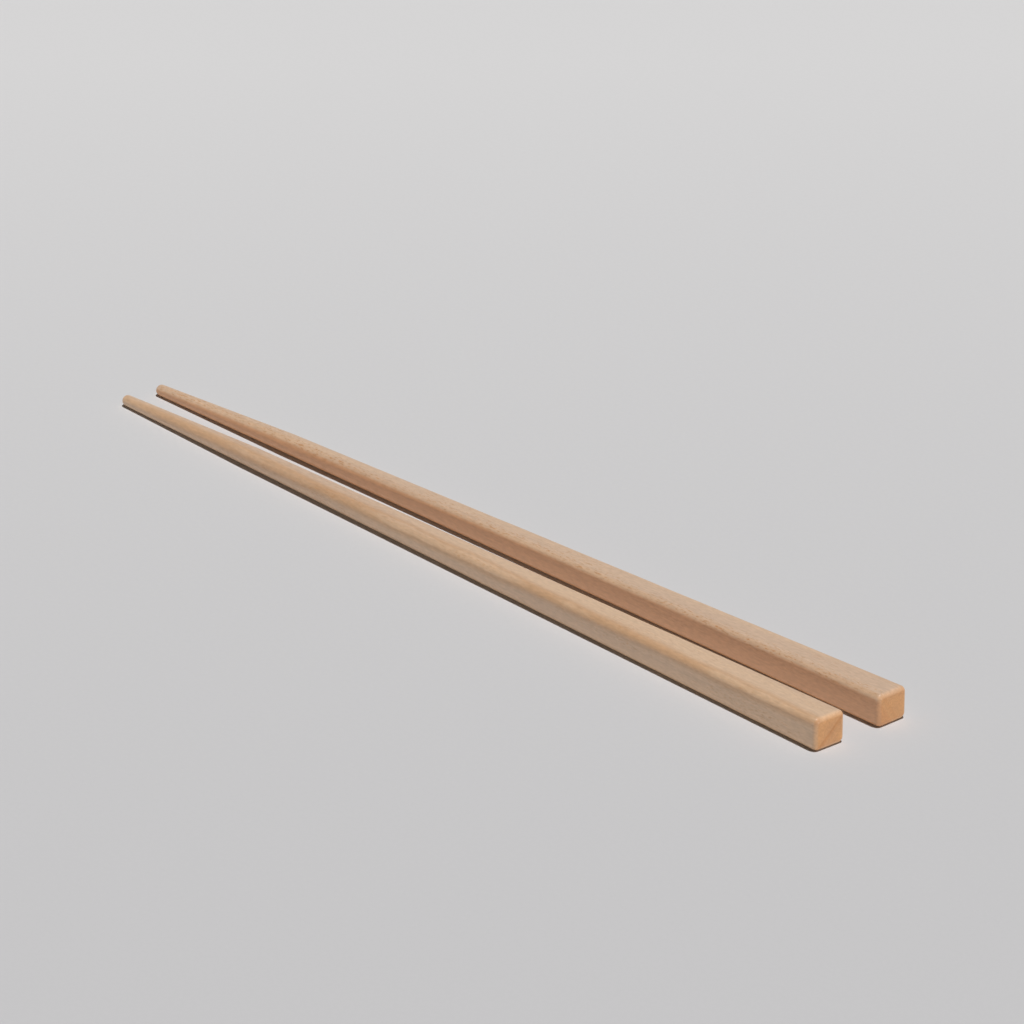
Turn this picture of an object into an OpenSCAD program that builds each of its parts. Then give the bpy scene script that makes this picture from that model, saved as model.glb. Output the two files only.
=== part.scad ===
// A pair of plain wooden chopsticks, lying side by side on their flat undersides.
// Each stick is one tapered piece of wood: a nearly square butt with softened edges, four long
// flats that narrow to a shoulder, and a slim point that ends in a round tip. The underside is
// straight from end to end, so that the tip lies on the table too.
// Sizes are in millimetres. +X points to the butts, -X to the tips, and z = 0 is the table.

/* [Stick] */
// Length from the butt end to the tip
stick_length = 230; // [160:1:320]
// Width between the side flats at the butt end
butt_width = 8.1; // [5:0.1:12]
// Height between the upper and lower flats at the butt end
butt_height = 7.2; // [5:0.1:12]
// Radius of the softened long edges at the butt end
butt_edge_radius = 1.3; // [0.8:0.05:2.4]
// Radius of the softened edges round the end face
end_edge_radius = 0.75; // [0.2:0.05:0.8]

/* [Point] */
// Length of the slim point, from the shoulder to the tip
point_length = 45; // [20:1:120]
// Width between the side flats at the shoulder, where the point begins
shoulder_width = 4.75; // [4.2:0.05:8]
// Height between the upper and lower flats at the shoulder
shoulder_height = 4.2; // [3.8:0.05:8]
// Radius of the rounded long edges at the shoulder
shoulder_edge_radius = 1.75; // [0.4:0.05:2.1]
// Diameter of the round tip
tip_diameter = 2.55; // [1:0.05:4]

/* [Lay of the pair] */
// Clear gap between the two sticks at their butts
butt_gap = 9; // [1:0.5:60]
// Clear gap between the two sticks at their tips
tip_gap = 6.8; // [1:0.1:60]
// How far the left stick lies ahead of the right one, towards the tips
stagger = 0.4; // [0:0.1:30]

/* [Hidden] */

wood_colour = [0.80, 0.68, 0.53];
// Facets round a ball or a disc: a multiple of four, so that its rim touches all four flats
facets = 32;

// Rounded edges, none of them larger than the wood beside it
butt_edge = min(butt_edge_radius, butt_width / 2, butt_height / 2);
end_edge = min(end_edge_radius, butt_edge);
shoulder_edge = min(shoulder_edge_radius, shoulder_width / 2, shoulder_height / 2);
tip_radius = tip_diameter / 2;

// Distances from the butt end to the shoulder and to the middle of the round tip
shoulder_reach = stick_length - point_length;
tip_reach = stick_length - tip_radius;

// Distance of each stick's axis from the middle line, at the butt and at the tip
butt_offset = (butt_gap + butt_width) / 2;
tip_offset = (tip_gap + tip_diameter) / 2;
// Angle at which each stick turns in towards the middle line
toe_in = asin((butt_offset - tip_offset) / tip_reach);

// How far a laid stick reaches past the middle of its butt end, towards +X and towards -X
butt_side_reach = (butt_width / 2 - end_edge) * abs(sin(toe_in)) + end_edge * (1 - cos(toe_in));
tip_side_reach = tip_reach * cos(toe_in) + tip_radius;
// Place of the butt ends along X that centres the pair on the origin
butt_place = (tip_side_reach - butt_side_reach) / 2;

// A ball whose poles lie on the stick's axis and whose rim has the full radius
module ball(radius) {
    rotate([0, 90, 0])
        rotate_extrude($fn = facets)
            intersection() {
                circle(r = radius, $fn = facets);
                translate([0, -radius])
                    square([radius, 2 * radius]);
            }
}

// A disc that lies across the stick's axis, with a rounded rim as thick as the disc
module soft_disc(radius, rim) {
    rotate([0, 90, 0])
        rotate_extrude($fn = facets)
            intersection() {
                union() {
                    translate([radius - rim, 0])
                        circle(r = rim, $fn = facets);
                    translate([0, -rim])
                        square([radius - rim, 2 * rim]);
                }
                translate([0, -rim])
                    square([radius, 2 * rim]);
            }
}

// Sets a shape in the four corners of a section that stands on the table, at a distance from
// the butt end and as far inside the section's flats as the radius of its long edges
module in_corners(distance, width, height, radius) {
    side = width / 2 - radius;
    for (y = [-side, side], z = [radius, height - radius])
        translate([-distance, y, z])
            children();
}

module butt_corners() {
    in_corners(end_edge, butt_width, butt_height, butt_edge)
        soft_disc(butt_edge, end_edge);
}

module shoulder_corners() {
    in_corners(shoulder_reach, shoulder_width, shoulder_height, shoulder_edge)
        ball(shoulder_edge);
}

module tip() {
    translate([-tip_reach, 0, tip_radius])
        ball(tip_radius);
}

// One stick along X in its own frame, with the foot of its butt end at the origin.
// Its edges grow rounder all the way, from the soft-edged butt to the fully round tip.
module stick() {
    hull() {
        butt_corners();
        shoulder_corners();
    }
    hull() {
        shoulder_corners();
        tip();
    }
}

// A stick at rest on its underside, on the left (side = -1) or the right (side = 1)
module laid_stick(side) {
    translate([butt_place + side * stagger / 2, side * butt_offset, 0])
        rotate([0, 0, side * toe_in])
            stick();
}

module left_chopstick() {
    color(wood_colour)
        laid_stick(-1);
}

module right_chopstick() {
    color(wood_colour)
        laid_stick(1);
}

left_chopstick();
right_chopstick();
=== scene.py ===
"""A pair of plain wooden chopsticks: two tapered sticks of pale wood, laid on a pale floor."""

import math

import bpy
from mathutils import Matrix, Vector


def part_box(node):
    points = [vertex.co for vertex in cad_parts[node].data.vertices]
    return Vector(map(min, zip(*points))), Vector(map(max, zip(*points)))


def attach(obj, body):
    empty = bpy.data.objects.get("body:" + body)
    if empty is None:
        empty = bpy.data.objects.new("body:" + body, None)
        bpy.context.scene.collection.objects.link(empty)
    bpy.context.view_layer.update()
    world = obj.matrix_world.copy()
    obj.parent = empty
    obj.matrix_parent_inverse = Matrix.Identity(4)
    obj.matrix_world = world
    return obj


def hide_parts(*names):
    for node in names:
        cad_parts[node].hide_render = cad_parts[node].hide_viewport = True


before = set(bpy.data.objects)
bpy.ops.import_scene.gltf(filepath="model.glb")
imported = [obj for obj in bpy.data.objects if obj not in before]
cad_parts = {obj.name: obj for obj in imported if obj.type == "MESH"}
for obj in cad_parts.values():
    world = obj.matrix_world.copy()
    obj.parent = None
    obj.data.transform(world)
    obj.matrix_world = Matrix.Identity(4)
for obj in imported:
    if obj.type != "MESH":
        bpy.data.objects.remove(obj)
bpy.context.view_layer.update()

bl_info = {
    "name": "Chopstick Pair",
    "version": (1, 0, 0),
    "blender": (4, 5, 0),
    "location": "View3D > Sidebar > Chopsticks",
    "description": "Makes a pair of plain wooden chopsticks and the floor they lie on",
    "category": "Add Mesh",
}

MM = 0.001
QUARTER_TURN = math.pi / 2

# Which side of the middle line each stick lies on: +1 is the right, as seen from the butts.
SIDES = {"left_chopstick": -1, "right_chopstick": 1}
PIECES = {"left_chopstick": "left_stick_wood", "right_chopstick": "right_stick_wood"}

# Where each stick was sawn from its log: the turn of its grain in degrees, the place of its
# butt from the pith in millimetres, and how clearly its rings show.
LOG_TURNS = {"left_chopstick": (-45.0, 0.72, 0.2), "right_chopstick": (62.0, -0.22, -0.3)}
LOG_PLACES = {"left_chopstick": (4.0, 3.0, 70.2), "right_chopstick": (730.0, -6.0, 60.7)}
RING_CONTRASTS = {"left_chopstick": 0.55, "right_chopstick": 0.2}

# How its edges were sanded: a seed, and how much keener its upper left edge was left.
SANDING_SEEDS = {"left_chopstick": 1.5, "right_chopstick": 7.5}
KEEN_EDGES = {"left_chopstick": 0.0, "right_chopstick": 0.3}

# Mesh steps round a section: each quarter has one rounded edge and one flat.
EDGE_STEPS = 10
FLAT_STEPS = 6
QUARTER_STEPS = EDGE_STEPS + FLAT_STEPS
SECTION_STEPS = 4 * QUARTER_STEPS

# Mesh rings along a stick, from the middle of the butt end to the end of the tip.
END_RINGS = 5
END_EDGE_RINGS = 6
BODY_RINGS = 72
POINT_RINGS = 40
DOME_RINGS = 10
STICK_RINGS = END_RINGS + END_EDGE_RINGS + BODY_RINGS + POINT_RINGS + DOME_RINGS

# How strongly the rings crowd together towards the rim of the end face and behind it.
END_CROWDING = 2
BODY_CROWDING = 1.5

# Quarters of a section are 0 upper right, 1 upper left, 2 lower left and 3 lower right.
UPPER_LEFT = 1

# Length along which an edge's sanding changes, and how far apart the four edges' noise is read.
SANDING_LENGTH = 18 * MM
SANDING_APART = 9.7

# Attributes that the stick's shape hands on to its wood.
LOG_PLACE = "log_place"
END_GRAIN = "end_grain"
ARRIS = "arris"
RING_CONTRAST = "ring_contrast"

# How far a finished stick's box may stand from its solid's.
BOX_LEEWAY = 0.05 * MM


def srgb(red, green, blue):
    """A colour given in screen values from 0 to 255, as the linear colour that shaders take."""
    def linear(value):
        level = value / 255
        return level / 12.92 if level <= 0.04045 else ((level + 0.055) / 1.055) ** 2.4
    return (linear(red), linear(green), linear(blue))


def distance(name, description, default):
    """A length property in metres."""
    return bpy.props.FloatProperty(
        name=name, description=description, default=default, min=0.0, unit="LENGTH", precision=5)


def angle(name, description, degrees):
    """An angle property, given in degrees."""
    return bpy.props.FloatProperty(
        name=name, description=description, default=math.radians(degrees), subtype="ANGLE")


def share(name, description, default):
    """A property from 0 to 1."""
    return bpy.props.FloatProperty(
        name=name, description=description, default=default, min=0.0, max=1.0, subtype="FACTOR")


def number(name, description, default):
    """A plain positive number."""
    return bpy.props.FloatProperty(name=name, description=description, default=default, min=0.0)


def colour(name, description, default):
    """A colour property, given in screen values."""
    return bpy.props.FloatVectorProperty(
        name=name, description=description, default=srgb(*default), min=0.0, max=1.0, subtype="COLOR")


class StickSizes(bpy.types.PropertyGroup):
    """Real sizes of a stick, and how the two lie."""

    stick_length: distance("Length", "From the butt end to the tip", 230 * MM)
    butt_width: distance("Butt width", "Between the side flats at the butt end", 8.1 * MM)
    butt_height: distance("Butt height", "Between top and underside at the butt end", 7.2 * MM)
    butt_edge_radius: distance("Butt edge radius", "Of the long edges at the butt", 1.3 * MM)
    end_edge_radius: distance("End edge radius", "Of the edges round the end face", 1.0 * MM)
    point_length: distance("Point length", "From the shoulder to the tip", 45 * MM)
    shoulder_width: distance("Shoulder width", "Between the side flats there", 4.75 * MM)
    shoulder_height: distance("Shoulder height", "Between top and underside there", 4.2 * MM)
    shoulder_edge_radius: distance("Shoulder edge radius", "Of the long edges there", 1.75 * MM)
    tip_diameter: distance("Tip diameter", "Of the round tip", 2.55 * MM)
    butt_gap: distance("Butt gap", "Clear gap between the butts", 9 * MM)
    tip_gap: distance("Tip gap", "Clear gap between the tips", 6.8 * MM)
    stagger: distance("Stagger", "How far the left stick lies ahead", 0.4 * MM)
    edge_wander: share("Edge wander", "How unevenly the long edges were sanded round", 0.14)
    under_rounding: share("Under rounding", "How much rounder the lower edges become", 0.28)


class WoodLook(bpy.types.PropertyGroup):
    """Colours and finish of the pale wood."""

    pale: colour("Pale wood", "Earlywood, the main colour", (206, 174, 143))
    tan: colour("Tan wood", "Where the timber drifts darker", (197, 167, 141))
    heart: colour("Heartwood", "Redder timber, nearer the pith", (195, 148, 111))
    late: colour("Latewood", "Thin dark side of a growth ring", (184, 141, 100))
    fleck: colour("Fleck", "Short pores and resin flecks", (178, 128, 82))
    warm: colour("Edge tint", "What burnishing does to the long edges", (247, 242, 235))
    cut: colour("End tint", "What cutting across the fibres does to the ends", (234, 204, 166))
    ring_spacing: number("Ring spacing", "Between growth rings, in millimetres", 4.7)
    heart_reach: number("Heartwood reach", "From the pith, in millimetres", 59.35)
    roughness: share("Roughness", "Of the sanded flats", 0.44)
    end_roughness: share("End roughness", "Of the cut ends", 0.8)
    coat: share("Coat", "Of thin oil on the sanded wood", 0.12)


class StageLook(bpy.types.PropertyGroup):
    """Floor, light and the photograph's point of view."""

    # Painted light falloff: the floor's colour, darker near the camera and lighter away from it.
    floor_near: colour("Floor, near", "Close to the camera", (200, 199, 200))
    floor_far: colour("Floor, far", "Away from the camera", (216, 215, 215))
    key_strength: number("Key light", "Strength of the overhead light", 3.03)
    key_spread: angle("Key spread", "Width of the overhead light in the sky", 3.0)
    front_strength: number("Front light", "Strength of the low light on the butt ends", 2.05)
    side_strength: number("Side light", "Strength of the low light on the left sides", 0.89)
    low_spread: angle("Low spread", "Width of the two low lights", 4.0)
    sky: share("Sky", "Brightness of the surroundings", 0.01)
    backdrop: share("Backdrop", "How bright the surroundings look beyond the floor", 0.6)
    azimuth: angle("Azimuth", "Of the camera, from the pair's front towards the butts", 48.355)
    elevation: angle("Elevation", "Of the camera above the floor", 24.05)
    reach: distance("Distance", "From the camera to the point it looks at", 1454.8 * MM)
    lens: number("Lens", "Focal length on a 36 mm wide sensor, in millimetres", 237.55)


# Direction towards each light, and the point on the floor that the camera looks at.
KEY_DIRECTION = Vector((0.12, 0.04, 1.0))
FRONT_DIRECTION = Vector((0.95, 0.30, 0.0))
SIDE_DIRECTION = Vector((-0.20, -1.0, 0.0))
LOOK_AT = Vector((-13.64, 20.73, 0.0)) * MM

# Half the floor's width in metres.
FLOOR_HALF = 6.0
# How far its painted falloff of light, darker near the camera and lighter away from it, reaches on
# either side of the point that the camera looks at, and how late on the way it comes.
FLOOR_FADE = 280 * MM
FLOOR_FADE_BEND = 1.6
# Its fine grain, in specks to a metre, and how strongly that shows.
FLOOR_GRAIN = 900.0
FLOOR_GRAIN_SHADE = 0.03
FLOOR_ROUGHNESS = 0.9
FLOOR_SPECULAR = 0.1

# Width of the camera's sensor in millimetres, and how far it sees in metres.
SENSOR_WIDTH = 36.0
FARTHEST_SEEN = 100.0


class Value:
    """A number that flows through a node tree: arithmetic on it adds Math nodes."""

    def __init__(self, graph, socket):
        self.graph = graph
        self.socket = socket

    def __add__(self, other):
        return self.graph.math("ADD", self, other)

    __radd__ = __add__

    def __sub__(self, other):
        return self.graph.math("SUBTRACT", self, other)

    def __rsub__(self, other):
        return self.graph.math("SUBTRACT", other, self)

    def __mul__(self, other):
        return self.graph.math("MULTIPLY", self, other)

    __rmul__ = __mul__

    def __truediv__(self, other):
        return self.graph.math("DIVIDE", self, other)

    def __pow__(self, other):
        return self.graph.math("POWER", self, other)

    def floor(self):
        return self.graph.math("FLOOR", self)

    def fraction(self):
        return self.graph.math("FRACT", self)

    def sine(self):
        return self.graph.math("SINE", self)

    def cosine(self):
        return self.graph.math("COSINE", self)

    def clamped(self):
        return self.graph.math("ADD", self, 0.0, clamp=True)

    def smooth(self, low, high):
        """0 below low, 1 above high, with a soft step between them."""
        return self.graph.node(
            "ShaderNodeMapRange", {"interpolation_type": "SMOOTHSTEP"},
            {"Value": self, "From Min": low, "From Max": high})["Result"]


class Made:
    """A node that was added, whose outputs are read by name or number."""

    def __init__(self, graph, node):
        self.graph = graph
        self.node = node

    def __getitem__(self, output):
        return Value(self.graph, self.node.outputs[output])


class Graph:
    """Adds nodes to one tree, of a shader or of geometry."""

    def __init__(self, tree):
        self.tree = tree
        tree.nodes.clear()

    def node(self, kind, settings=None, sockets=None):
        """Adds a node. Its settings are set first, then the values or links of its sockets."""
        node = self.tree.nodes.new(kind)
        for name, value in (settings or {}).items():
            setattr(node, name, value)
        for name, value in (sockets or {}).items():
            if isinstance(value, Value):
                self.tree.links.new(value.socket, node.inputs[name])
            else:
                node.inputs[name].default_value = value
        return Made(self, node)

    def math(self, operation, first, second=0.0, clamp=False):
        return self.node(
            "ShaderNodeMath", {"operation": operation, "use_clamp": clamp},
            {0: first, 1: second})["Value"]

    def attribute(self, name):
        return self.node("ShaderNodeAttribute", {"attribute_name": name})

    def vector(self, x, y, z):
        return self.node("ShaderNodeCombineXYZ", None, {"X": x, "Y": y, "Z": z})["Vector"]

    def scaled(self, vector, factors):
        return self.node(
            "ShaderNodeVectorMath", {"operation": "MULTIPLY"}, {0: vector, 1: factors})["Vector"]

    def noise(self, vector, detail=2.0, roughness=0.5):
        """Soft random values from 0 to 1, about one to each unit of the vector."""
        return self.node(
            "ShaderNodeTexNoise", {"noise_dimensions": "3D"},
            {"Vector": vector, "Scale": 1.0, "Detail": detail, "Roughness": roughness})[0]

    def mix(self, factor, first, second, blend="MIX"):
        """A colour made from two colours."""
        return self.node(
            "ShaderNodeMix", {"data_type": "RGBA", "blend_type": blend},
            {"Factor": factor, 6: solid(first), 7: solid(second)})[2]

    def shade(self, colour_link, level):
        """A colour made lighter or darker by a number."""
        return self.node(
            "ShaderNodeVectorMath", {"operation": "SCALE"}, {0: colour_link, "Scale": level})["Vector"]


def solid(value):
    """A colour property as a socket's four values, or a link as it is."""
    return value if isinstance(value, Value) else (*value, 1.0)


def lay_of_stick(sizes, side):
    """The place of the foot of a stick's butt end, and its turn."""
    tip_radius = sizes.tip_diameter / 2
    tip_reach = sizes.stick_length - tip_radius
    end_edge = sizes.end_edge_radius
    butt_offset = (sizes.butt_gap + sizes.butt_width) / 2
    tip_offset = (sizes.tip_gap + sizes.tip_diameter) / 2
    toe_in = math.asin((butt_offset - tip_offset) / tip_reach)
    butt_side = (
        (sizes.butt_width / 2 - end_edge) * math.sin(abs(toe_in)) + end_edge * (1 - math.cos(toe_in)))
    tip_side = tip_reach * math.cos(toe_in) + tip_radius
    butt_place = (tip_side - butt_side) / 2
    place = (butt_place + side * sizes.stagger / 2, side * butt_offset, 0.0)
    return place, (0.0, 0.0, side * toe_in)


# Sizes that the stick's node tree takes, in the order of its inputs.
STICK_INPUTS = {
    "Length": "stick_length",
    "Butt Width": "butt_width",
    "Butt Height": "butt_height",
    "Butt Edge Radius": "butt_edge_radius",
    "End Edge Radius": "end_edge_radius",
    "Point Length": "point_length",
    "Shoulder Width": "shoulder_width",
    "Shoulder Height": "shoulder_height",
    "Shoulder Edge Radius": "shoulder_edge_radius",
    "Tip Diameter": "tip_diameter",
    "Edge Wander": "edge_wander",
    "Under Rounding": "under_rounding",
}


def make_stick_tree():
    """The node tree of a tapered stick: a nearly square butt, a shoulder and a round tip."""
    tree = bpy.data.node_groups.new("Tapered Stick", "GeometryNodeTree")
    for name in (*STICK_INPUTS, "Seed", "Keen Edge", "Ring Contrast"):
        tree.interface.new_socket(name, in_out="INPUT", socket_type="NodeSocketFloat")
    for name in ("Place", "Turn", "Log Turn", "Log Place"):
        tree.interface.new_socket(name, in_out="INPUT", socket_type="NodeSocketVector")
    tree.interface.new_socket("Wood", in_out="INPUT", socket_type="NodeSocketMaterial")
    tree.interface.new_socket("Geometry", in_out="OUTPUT", socket_type="NodeSocketGeometry")
    graph = Graph(tree)
    given = graph.node("NodeGroupInput")

    # Number of each point's ring along the stick, and of its step round the section.
    index = graph.node("GeometryNodeInputIndex")["Index"]
    ring = ((index - 1) / SECTION_STEPS).floor() + 1
    step = index - 1 - (ring - 1) * SECTION_STEPS
    quarter = (step / QUARTER_STEPS).floor()
    quarter_step = step - quarter * QUARTER_STEPS

    # How far each stretch of the stick has run at this ring, from 0 to 1. The rings lie closer
    # towards the rim of the end face and behind it.
    end = 1 - (1 - ring / END_RINGS).clamped() ** END_CROWDING
    past_end = ring - END_RINGS
    end_edge = (past_end / END_EDGE_RINGS).clamped()
    past_edge = past_end - END_EDGE_RINGS
    body = (past_edge / BODY_RINGS).clamped() ** BODY_CROWDING
    past_body = past_edge - BODY_RINGS
    point = (past_body / POINT_RINGS).clamped()
    dome = ((past_body - POINT_RINGS) / DOME_RINGS).clamped()

    # Half the width and height, the radius of the long edges, the height of the section's middle
    # above the table and the distance from the butt end.
    tip_radius = given["Tip Diameter"] / 2
    end_edge_radius = given["End Edge Radius"]
    shoulder_reach = given["Length"] - given["Point Length"]
    edge_turn = end_edge * QUARTER_TURN
    dome_turn = dome * QUARTER_TURN
    dome_loss = tip_radius * (1 - dome_turn.cosine())
    end_loss = end_edge_radius * (1 - edge_turn.sine())

    def tapered(butt, shoulder):
        """A measure of the section, from its values at the butt and the shoulder to the round tip."""
        return (
            end * (butt - end_loss)
            + body * (shoulder - butt) + point * (tip_radius - shoulder) - dome_loss)

    half_width = tapered(given["Butt Width"] / 2, given["Shoulder Width"] / 2)
    half_height = tapered(given["Butt Height"] / 2, given["Shoulder Height"] / 2)
    edge_radius = tapered(given["Butt Edge Radius"], given["Shoulder Edge Radius"])
    butt_middle = given["Butt Height"] / 2
    shoulder_middle = given["Shoulder Height"] / 2
    middle = (
        butt_middle
        + body * (shoulder_middle - butt_middle) + point * (tip_radius - shoulder_middle))
    along = (
        end_edge_radius * (1 - edge_turn.cosine())
        + body * (shoulder_reach - end_edge_radius)
        + point * (given["Length"] - tip_radius - shoulder_reach)
        + tip_radius * dome_turn.sine())

    def sanded_radius(which_quarter):
        """The edge's radius, uneven along the stick and rounder below, as sanding leaves it."""
        spot = graph.vector(
            along / SANDING_LENGTH, which_quarter * SANDING_APART, given["Seed"])
        uneven = (graph.noise(spot) - 0.5) * given["Edge Wander"] * 2
        is_upper_left = (1 - (which_quarter - UPPER_LEFT) ** 2).clamped()
        is_lower = (which_quarter / 2).floor()
        # 0 at the butt and at the shoulder, 1 midway.
        between_ends = body * (1 - body) * 4
        sanded = (uneven - is_upper_left * given["Keen Edge"]) * between_ends
        rounder = is_lower * given["Under Rounding"] * body * (1 - point)
        return edge_radius * (1 + sanded + rounder)

    # The section, first in its own quarter and then turned to its place.
    next_quarter = quarter + 1 - ((quarter + 1) / 4).floor() * 4
    on_side = quarter - (quarter / 2).floor() * 2
    half_across = half_width + on_side * (half_height - half_width)
    half_outward = half_height + on_side * (half_width - half_height)
    radius = sanded_radius(quarter)
    corner = half_across - radius
    next_corner = half_across - sanded_radius(next_quarter)
    edge_angle = (quarter_step / EDGE_STEPS).clamped() * QUARTER_TURN
    flat_share = ((quarter_step - EDGE_STEPS) / FLAT_STEPS).smooth(0.0, 1.0)
    across = corner * (1 - flat_share) - next_corner * flat_share + radius * edge_angle.cosine()
    outward = half_outward - radius * (1 - edge_angle.sine())
    turn = quarter * QUARTER_TURN
    from_axis = graph.vector(
        0 - along,
        across * turn.cosine() - outward * turn.sine(),
        across * turn.sine() + outward * turn.cosine())
    raised = graph.node(
        "ShaderNodeVectorMath", {"operation": "ADD"},
        {0: from_axis, 1: graph.vector(0.0, 0.0, middle)})["Vector"]

    ball = graph.node(
        "GeometryNodeMeshUVSphere", None,
        {"Segments": SECTION_STEPS, "Rings": STICK_RINGS})["Mesh"]
    shaped = graph.node(
        "GeometryNodeSetPosition", None, {"Geometry": ball, "Position": raised})["Geometry"]

    # What the wood needs to know of each point.
    grain_turned = graph.node(
        "ShaderNodeVectorRotate", {"rotation_type": "EULER_XYZ"},
        {"Vector": graph.scaled(from_axis, (1 / MM,) * 3), "Rotation": given["Log Turn"]})["Vector"]
    in_log = graph.node(
        "ShaderNodeVectorMath", {"operation": "ADD"},
        {0: grain_turned, 1: given["Log Place"]})["Vector"]
    marked = shaped
    for name, kind, value in (
            (LOG_PLACE, "FLOAT_VECTOR", in_log),
            (END_GRAIN, "FLOAT", 1 - end_edge),
            (ARRIS, "FLOAT", (edge_angle * 2).sine() * end_edge * (1 - point)),
            (RING_CONTRAST, "FLOAT", given["Ring Contrast"])):
        marked = graph.node(
            "GeometryNodeStoreNamedAttribute", {"data_type": kind, "domain": "POINT"},
            {"Geometry": marked, "Name": name, "Value": value})["Geometry"]

    laid = graph.node(
        "GeometryNodeTransform", None,
        {"Geometry": marked, "Translation": given["Place"], "Rotation": given["Turn"]})["Geometry"]
    smooth = graph.node("GeometryNodeSetShadeSmooth", None, {"Geometry": laid})["Geometry"]
    real = graph.node("GeometryNodeRealizeInstances", None, {"Geometry": smooth})["Geometry"]
    dressed = graph.node(
        "GeometryNodeSetMaterial", None, {"Geometry": real, "Material": given["Wood"]})["Geometry"]
    graph.node("NodeGroupOutput", None, {"Geometry": dressed})
    return tree


def make_stick(tree, node, sizes, wood):
    """One stick as a plain mesh, in the place of its solid."""
    piece = bpy.data.objects.new(PIECES[node], bpy.data.meshes.new(PIECES[node]))
    bpy.context.scene.collection.objects.link(piece)
    place, turn = lay_of_stick(sizes, SIDES[node])
    inputs = {name: getattr(sizes, size) for name, size in STICK_INPUTS.items()}
    inputs["Seed"] = SANDING_SEEDS[node]
    inputs["Keen Edge"] = KEEN_EDGES[node]
    inputs["Ring Contrast"] = RING_CONTRASTS[node]
    inputs["Place"] = place
    inputs["Turn"] = turn
    inputs["Log Turn"] = [math.radians(degrees) for degrees in LOG_TURNS[node]]
    inputs["Log Place"] = LOG_PLACES[node]
    inputs["Wood"] = wood
    modifier = piece.modifiers.new("Tapered Stick", "NODES")
    modifier.node_group = tree
    for item in tree.interface.items_tree:
        if item.in_out == "INPUT":
            modifier[item.identifier] = inputs[item.name]
    evaluated = piece.evaluated_get(bpy.context.evaluated_depsgraph_get())
    mesh = bpy.data.meshes.new_from_object(evaluated)
    piece.modifiers.remove(modifier)
    mesh.name = PIECES[node]
    piece.data = mesh
    return piece


def check_box(piece, node):
    """Raises an error where a stick's box isn't its solid's."""
    for axis in range(3):
        reach = [vertex.co[axis] for vertex in piece.data.vertices]
        low, high = (corner[axis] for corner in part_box(node))
        if abs(min(reach) - low) > BOX_LEEWAY or abs(max(reach) - high) > BOX_LEEWAY:
            raise RuntimeError(
                f"{piece.name} reaches {min(reach):.6f} to {max(reach):.6f} on axis {axis}, "
                f"and its solid {low:.6f} to {high:.6f}")


# Scales of the wood's patterns along the log and across it, in features to a millimetre.
WAVER_SCALE = (0.05, 0.10, 0.10)
FIBRE_SCALE = (0.05, 2.4, 2.4)
MOTTLE_SCALE = (0.6, 2.2, 2.2)
SPECK_SCALE = (0.9, 3.4, 3.4)
PATCH_SCALE = (0.03, 0.3, 0.3)
DRIFT_SCALE = (0.008, 0.2, 0.2)
ACROSS_LOG = (0.0, 1.0, 1.0)

# Noise levels between which specks, patches of flecks and the drift of tone come in.
SPECK_LEVELS = (0.53, 0.68)
PATCH_LEVELS = (0.42, 0.66)
DRIFT_LEVELS = (0.35, 0.65)

# Shares of a growth ring over which its dark side sets in and ends.
LATE_ONSET = (0.70, 0.92)
LATE_CLOSE = (0.93, 0.99)

# In millimetres: how far the rings and the heartwood waver, half the width of the heartwood's
# soft border, and the middle and half width of the band of flecks outside it.
RING_WAVER = 1.4
HEART_WAVER = 0.4
HEART_SOFTNESS = 0.35
FLECK_BAND_MIDDLE = 1.2
FLECK_BAND_HALF = 1.6

# How strongly each pattern shows.
HEART_LOSS_AT_ENDS = 0.7
PATCH_FLECKS = 0.45
BAND_FLECKS = 0.6
FIBRE_SHADE = 0.18
MOTTLE_SHADE = 0.36
FIBRE_ROUGHNESS = 0.12
COAT_ROUGHNESS = 0.2
BUMP_STRENGTH = 0.25
BUMP_DEPTH = 0.05 * MM
FLECK_DEPTH = 0.5


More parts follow.
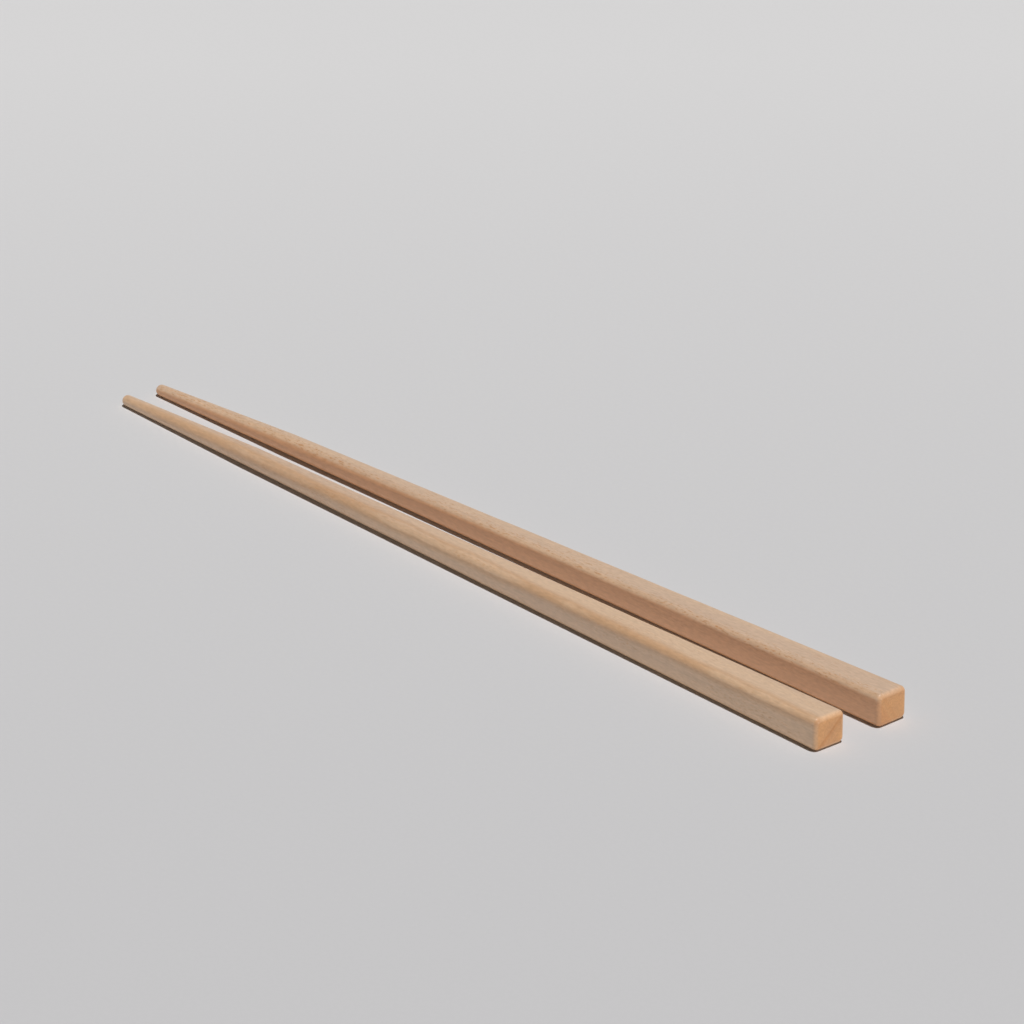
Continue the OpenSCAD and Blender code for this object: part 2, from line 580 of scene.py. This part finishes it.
def make_wood(look):
    """Pale sanded wood: growth rings, fibres and flecks that run through the stick."""
    material = bpy.data.materials.new("pale_wood")
    material.use_nodes = True
    graph = Graph(material.node_tree)
    place = graph.attribute(LOG_PLACE)["Vector"]
    ends = graph.attribute(END_GRAIN)["Fac"]
    arris = graph.attribute(ARRIS)["Fac"]
    ring_contrast = graph.attribute(RING_CONTRAST)["Fac"]

    # Growth rings round the pith, which waver along the log.
    waver = graph.noise(graph.scaled(place, WAVER_SCALE), detail=3.0) - 0.5
    from_pith = graph.node(
        "ShaderNodeVectorMath", {"operation": "LENGTH"},
        {0: graph.scaled(place, ACROSS_LOG)})["Value"]
    grown = from_pith + waver * RING_WAVER
    ring = (grown / look.ring_spacing).fraction()
    late = ring.smooth(*LATE_ONSET) * (1 - ring.smooth(*LATE_CLOSE))
    past_heart = from_pith + waver * HEART_WAVER - look.heart_reach
    sapwood = past_heart.smooth(-HEART_SOFTNESS, HEART_SOFTNESS)
    heart = (1 - sapwood) * (1 - ends * HEART_LOSS_AT_ENDS)
    band = (1 - ((past_heart - FLECK_BAND_MIDDLE) / FLECK_BAND_HALF) ** 2).clamped()

    # Long fibres, a fine mottling, short flecks in patches, and a slow drift of tone.
    fibre = graph.noise(graph.scaled(place, FIBRE_SCALE), detail=3.0, roughness=0.6) - 0.5
    mottle = graph.noise(graph.scaled(place, MOTTLE_SCALE), detail=1.0) - 0.5
    speck = graph.noise(graph.scaled(place, SPECK_SCALE)).smooth(*SPECK_LEVELS)
    patch = graph.noise(graph.scaled(place, PATCH_SCALE)).smooth(*PATCH_LEVELS)
    flecks = speck * (patch * PATCH_FLECKS + band * BAND_FLECKS) * (1 - ends)
    drift = graph.noise(graph.scaled(place, DRIFT_SCALE)).smooth(*DRIFT_LEVELS)

    wood = graph.mix(drift, look.pale, look.tan)
    wood = graph.mix(heart, wood, look.heart)
    wood = graph.mix(late * ring_contrast, wood, look.late)
    wood = graph.mix(flecks, wood, look.fleck)
    wood = graph.mix(arris, wood, look.warm, "MULTIPLY")
    wood = graph.mix(ends, wood, look.cut, "MULTIPLY")
    wood = graph.shade(wood, 1 + fibre * FIBRE_SHADE + mottle * MOTTLE_SHADE)

    roughness = (
        look.roughness + fibre * FIBRE_ROUGHNESS + ends * (look.end_roughness - look.roughness))
    bump = graph.node(
        "ShaderNodeBump", None,
        {"Strength": BUMP_STRENGTH, "Distance": BUMP_DEPTH,
         "Height": fibre - flecks * FLECK_DEPTH})["Normal"]
    shader = graph.node(
        "ShaderNodeBsdfPrincipled", None,
        {"Base Color": wood, "Roughness": roughness, "Normal": bump,
         "Coat Weight": look.coat, "Coat Roughness": COAT_ROUGHNESS})["BSDF"]
    graph.node("ShaderNodeOutputMaterial", None, {"Surface": shader})
    return material


def make_floor(look):
    """A plain pale floor, a little lighter away from the camera: painted light falloff in its colour.
    """
    corners = [(-FLOOR_HALF, -FLOOR_HALF), (FLOOR_HALF, -FLOOR_HALF),
               (FLOOR_HALF, FLOOR_HALF), (-FLOOR_HALF, FLOOR_HALF)]
    mesh = bpy.data.meshes.new("floor")
    mesh.from_pydata([(x, y, 0.0) for x, y in corners], [], [(0, 1, 2, 3)])
    floor = bpy.data.objects.new("floor", mesh)
    bpy.context.scene.collection.objects.link(floor)

    material = bpy.data.materials.new("pale_floor")
    material.use_nodes = True
    graph = Graph(material.node_tree)
    place = graph.node("ShaderNodeTexCoord")["Object"]
    away = Vector((-math.sin(look.azimuth), math.cos(look.azimuth), 0.0))
    distance_away = graph.node(
        "ShaderNodeVectorMath", {"operation": "DOT_PRODUCT"}, {0: place, 1: away})["Value"]
    nearest = away.dot(LOOK_AT) - FLOOR_FADE
    painted_falloff = ((distance_away - nearest) / (2 * FLOOR_FADE)).clamped()
    # Painted light: the floor's colour is darker near the camera and lighter away from it, as falling
    # light would make it.
    tone = graph.mix(painted_falloff ** FLOOR_FADE_BEND, look.floor_near, look.floor_far)
    grain = graph.noise(graph.scaled(place, (FLOOR_GRAIN,) * 3)) - 0.5
    shader = graph.node(
        "ShaderNodeBsdfPrincipled", None,
        {"Base Color": graph.shade(tone, 1 + grain * FLOOR_GRAIN_SHADE),
         "Roughness": FLOOR_ROUGHNESS, "Specular IOR Level": FLOOR_SPECULAR})["BSDF"]
    graph.node("ShaderNodeOutputMaterial", None, {"Surface": shader})
    mesh.materials.append(material)
    return floor


def make_lamp(name, direction, strength, spread, casts_shadow):
    """A far lamp that shines from a direction, with or without soft shadows."""
    lamp = bpy.data.lights.new(name, "SUN")
    lamp.use_shadow = casts_shadow
    lamp.energy = strength
    lamp.angle = spread
    holder = bpy.data.objects.new(name, lamp)
    holder.rotation_euler = direction.to_track_quat("Z", "Y").to_euler()
    bpy.context.scene.collection.objects.link(holder)


def make_sky(look):
    """Even, dim surroundings that look pale behind the floor."""
    world = bpy.data.worlds.new("studio")
    world.use_nodes = True
    graph = Graph(world.node_tree)
    ray = graph.node("ShaderNodeLightPath")
    seen = ray["Is Camera Ray"] + ray["Is Glossy Ray"] + ray["Is Transmission Ray"]
    tone = graph.mix(seen, (look.sky,) * 3, (look.backdrop,) * 3)
    shader = graph.node("ShaderNodeBackground", None, {"Color": tone})["Background"]
    graph.node("ShaderNodeOutputWorld", None, {"Surface": shader})
    bpy.context.scene.world = world


def make_camera(look):
    """The camera at the photograph's viewing angle."""
    camera = bpy.data.cameras.new("camera")
    camera.sensor_width = SENSOR_WIDTH
    camera.lens = look.lens
    camera.clip_end = FARTHEST_SEEN
    back = Vector((
        math.sin(look.azimuth) * math.cos(look.elevation),
        -math.cos(look.azimuth) * math.cos(look.elevation),
        math.sin(look.elevation)))
    holder = bpy.data.objects.new("camera", camera)
    holder.location = LOOK_AT + back * look.reach
    holder.rotation_euler = back.to_track_quat("Z", "Y").to_euler()
    bpy.context.scene.collection.objects.link(holder)
    bpy.context.scene.camera = holder


class CHOPSTICKS_OT_make_sticks(bpy.types.Operator):
    """Make the two sticks of pale wood, in place of the plain solids"""

    bl_idname = "chopsticks.make_sticks"
    bl_label = "Make Sticks"

    def execute(self, context):
        sizes = context.scene.chopstick_sizes
        wood = make_wood(context.scene.chopstick_wood)
        tree = make_stick_tree()
        for node in SIDES:
            piece = make_stick(tree, node, sizes, wood)
            check_box(piece, node)
            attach(piece, "root")
            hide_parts(node)
        return {"FINISHED"}


class CHOPSTICKS_OT_make_stage(bpy.types.Operator):
    """Make the floor, the light and the camera"""

    bl_idname = "chopsticks.make_stage"
    bl_label = "Make Stage"

    def execute(self, context):
        look = context.scene.chopstick_stage
        make_floor(look)
        make_lamp("key_light", KEY_DIRECTION, look.key_strength, look.key_spread, True)
        make_lamp("front_light", FRONT_DIRECTION, look.front_strength, look.low_spread, False)
        make_lamp("side_light", SIDE_DIRECTION, look.side_strength, look.low_spread, False)
        make_sky(look)
        make_camera(look)
        context.scene.view_settings.view_transform = "Standard"
        return {"FINISHED"}


class CHOPSTICKS_PT_maker(bpy.types.Panel):
    """Lists what makes the pair and its stage"""

    bl_label = "Chopsticks"
    bl_idname = "CHOPSTICKS_PT_maker"
    bl_space_type = "VIEW_3D"
    bl_region_type = "UI"
    bl_category = "Chopsticks"

    def draw(self, context):
        for operator, group in (
                (CHOPSTICKS_OT_make_sticks, context.scene.chopstick_sizes),
                (CHOPSTICKS_OT_make_sticks, context.scene.chopstick_wood),
                (CHOPSTICKS_OT_make_stage, context.scene.chopstick_stage)):
            box = self.layout.box()
            for name in group.__annotations__:
                box.prop(group, name)
            box.operator(operator.bl_idname)


GROUPS = {
    "chopstick_sizes": StickSizes,
    "chopstick_wood": WoodLook,
    "chopstick_stage": StageLook,
}
CLASSES = (
    *GROUPS.values(), CHOPSTICKS_OT_make_sticks, CHOPSTICKS_OT_make_stage, CHOPSTICKS_PT_maker)


def register():
    for kind in CLASSES:
        bpy.utils.register_class(kind)
    for name, group in GROUPS.items():
        setattr(bpy.types.Scene, name, bpy.props.PointerProperty(type=group))


def unregister():
    for name in GROUPS:
        delattr(bpy.types.Scene, name)
    for kind in reversed(CLASSES):
        bpy.utils.unregister_class(kind)


def main():
    register()
    bpy.ops.chopsticks.make_sticks()
    bpy.ops.chopsticks.make_stage()


if __name__ == "__main__":
    main()
